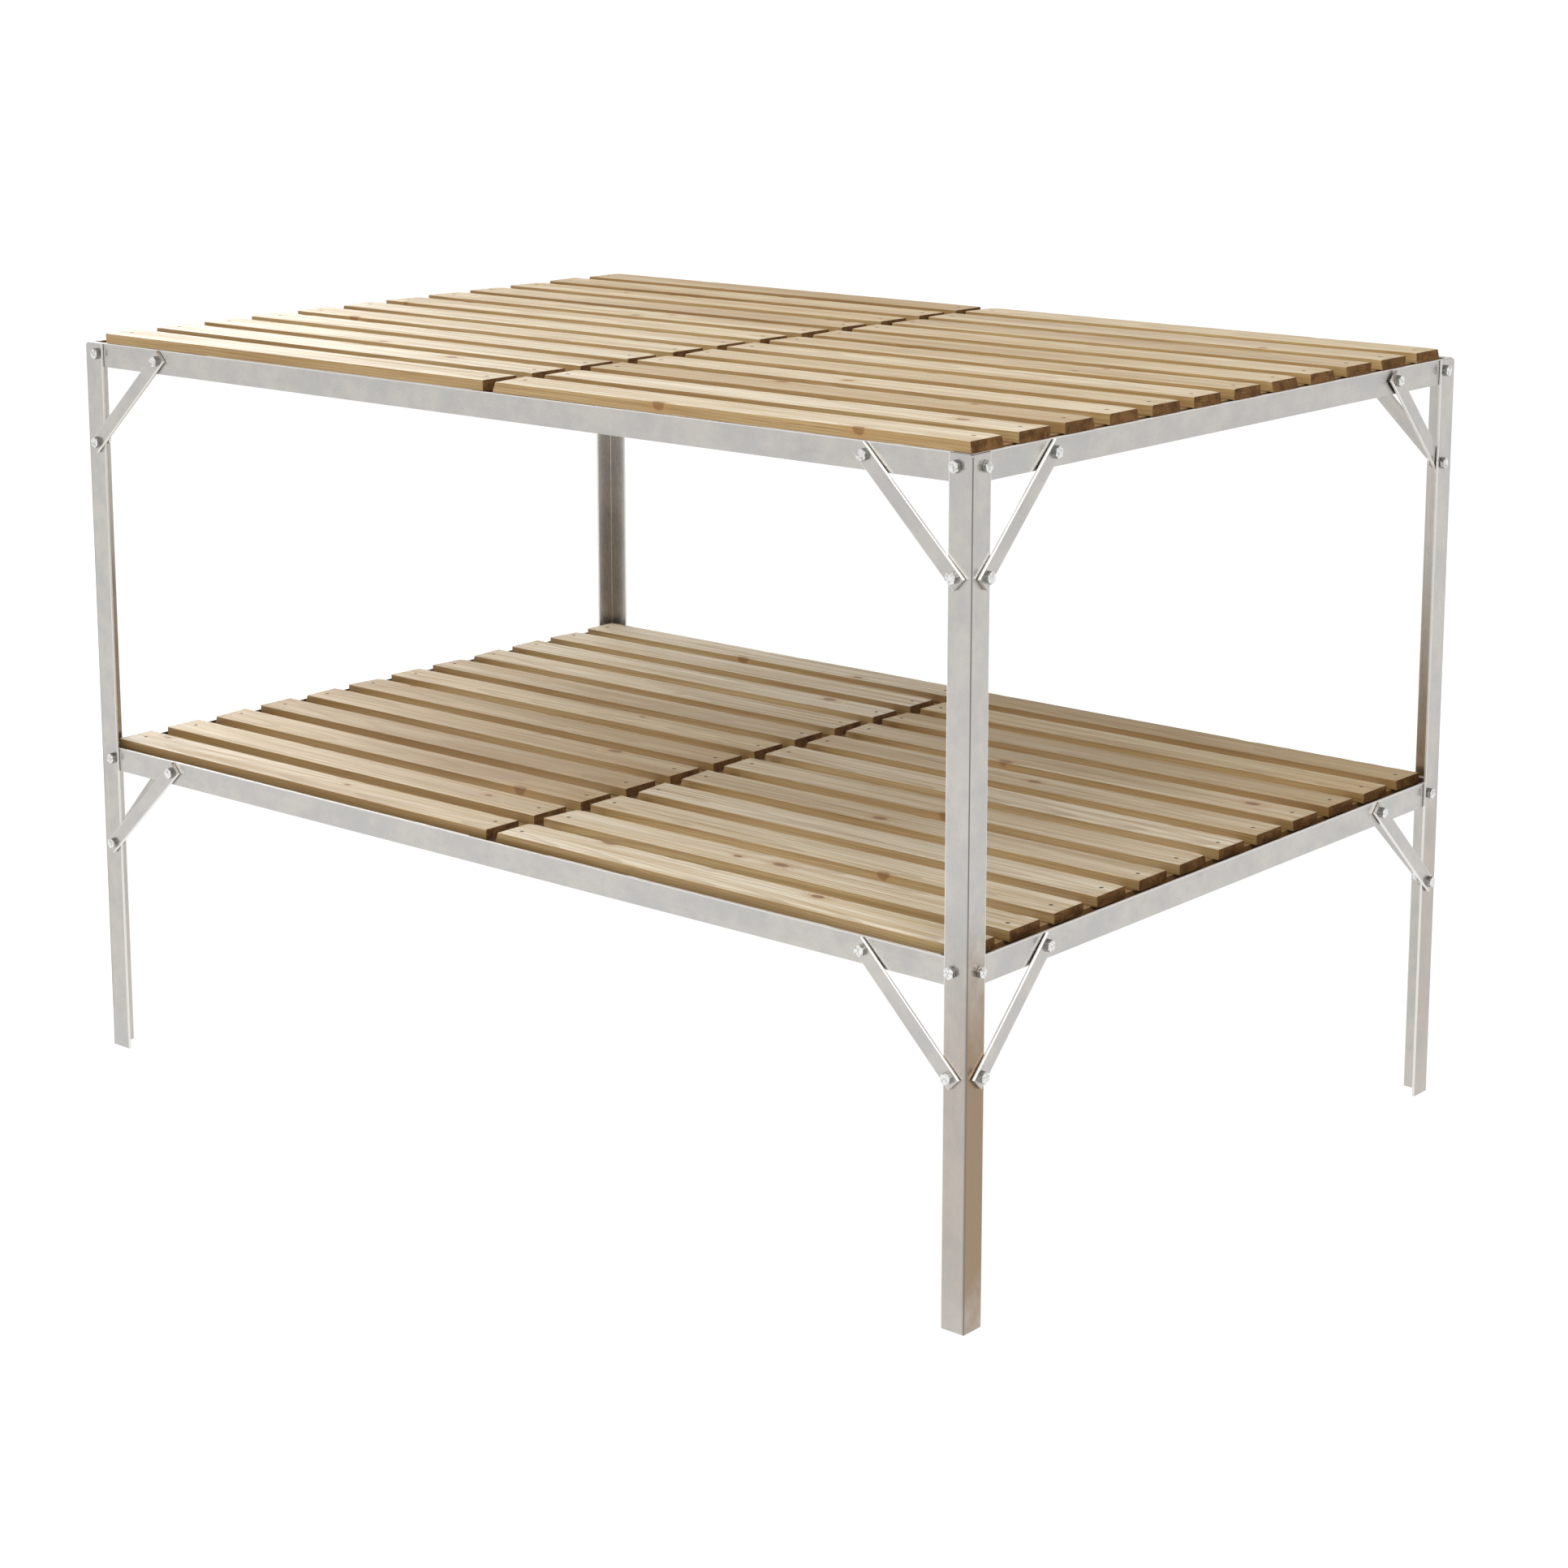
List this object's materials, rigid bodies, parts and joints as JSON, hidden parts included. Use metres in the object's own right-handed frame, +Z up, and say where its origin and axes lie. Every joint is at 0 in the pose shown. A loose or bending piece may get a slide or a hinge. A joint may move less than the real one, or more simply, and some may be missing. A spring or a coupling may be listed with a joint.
{
  "type": "potting bench",
  "caption": "Two-tier potting bench: braced aluminium angle frame with lift-off slatted timber panels for the worktop and the lower shelf.",
  "frame": {"origin": "on the floor under the middle of the frame", "axes": "+X along the long side to the right, +Y to the back, +Z up"},
  "size_m": [1.1856, 0.8216, 0.7888],
  "materials": {
    "aluminium": "mill finish, dull satin",
    "zinc": "bright zinc plated",
    "timber": "sawn and planed softwood, untreated"
  },
  "bodies": {
    "frame": {"leg_front_left": "aluminium", "leg_front_right": "aluminium", "leg_back_left": "aluminium", "leg_back_right": "aluminium", "rail_top_front": "aluminium", "rail_top_back": "aluminium", "rail_top_left": "aluminium", "rail_top_right": "aluminium", "brace_top_front_left_long": "aluminium", "bolt_top_front_left_long": "zinc", "brace_top_front_left_side": "aluminium", "bolt_top_front_left_side": "zinc", "brace_top_front_right_long": "aluminium", "bolt_top_front_right_long": "zinc", "brace_top_front_right_side": "aluminium", "bolt_top_front_right_side": "zinc", "brace_top_back_left_long": "aluminium", "bolt_top_back_left_long": "zinc", "brace_top_back_left_side": "aluminium", "bolt_top_back_left_side": "zinc", "brace_top_back_right_long": "aluminium", "bolt_top_back_right_long": "zinc", "brace_top_back_right_side": "aluminium", "bolt_top_back_right_side": "zinc", "rail_shelf_front": "aluminium", "rail_shelf_back": "aluminium", "rail_shelf_left": "aluminium", "rail_shelf_right": "aluminium", "brace_shelf_front_left_long": "aluminium", "bolt_shelf_front_left_long": "zinc", "brace_shelf_front_left_side": "aluminium", "bolt_shelf_front_left_side": "zinc", "brace_shelf_front_right_long": "aluminium", "bolt_shelf_front_right_long": "zinc", "brace_shelf_front_right_side": "aluminium", "bolt_shelf_front_right_side": "zinc", "brace_shelf_back_left_long": "aluminium", "bolt_shelf_back_left_long": "zinc", "brace_shelf_back_left_side": "aluminium", "bolt_shelf_back_left_side": "zinc", "brace_shelf_back_right_long": "aluminium", "bolt_shelf_back_right_long": "zinc", "brace_shelf_back_right_side": "aluminium", "bolt_shelf_back_right_side": "zinc"},
    "panel_top_left": {"panel_top_left": "timber"},
    "panel_top_right": {"panel_top_right": "timber"},
    "panel_shelf_left": {"panel_shelf_left": "timber"},
    "panel_shelf_right": {"panel_shelf_right": "timber"}
  },
  "joints": [
    {"name": "lift_panel_top_left", "type": "slide", "parent": "frame", "child": "panel_top_left", "axis": [0, 0, 1], "range_m": [0, 0.15]},
    {"name": "lift_panel_top_right", "type": "slide", "parent": "frame", "child": "panel_top_right", "axis": [0, 0, 1], "range_m": [0, 0.15]},
    {"name": "lift_panel_shelf_left", "type": "slide", "parent": "frame", "child": "panel_shelf_left", "axis": [0, 0, 1], "range_m": [0, 0.1]},
    {"name": "lift_panel_shelf_right", "type": "slide", "parent": "frame", "child": "panel_shelf_right", "axis": [0, 0, 1], "range_m": [0, 0.1]}
  ]
}
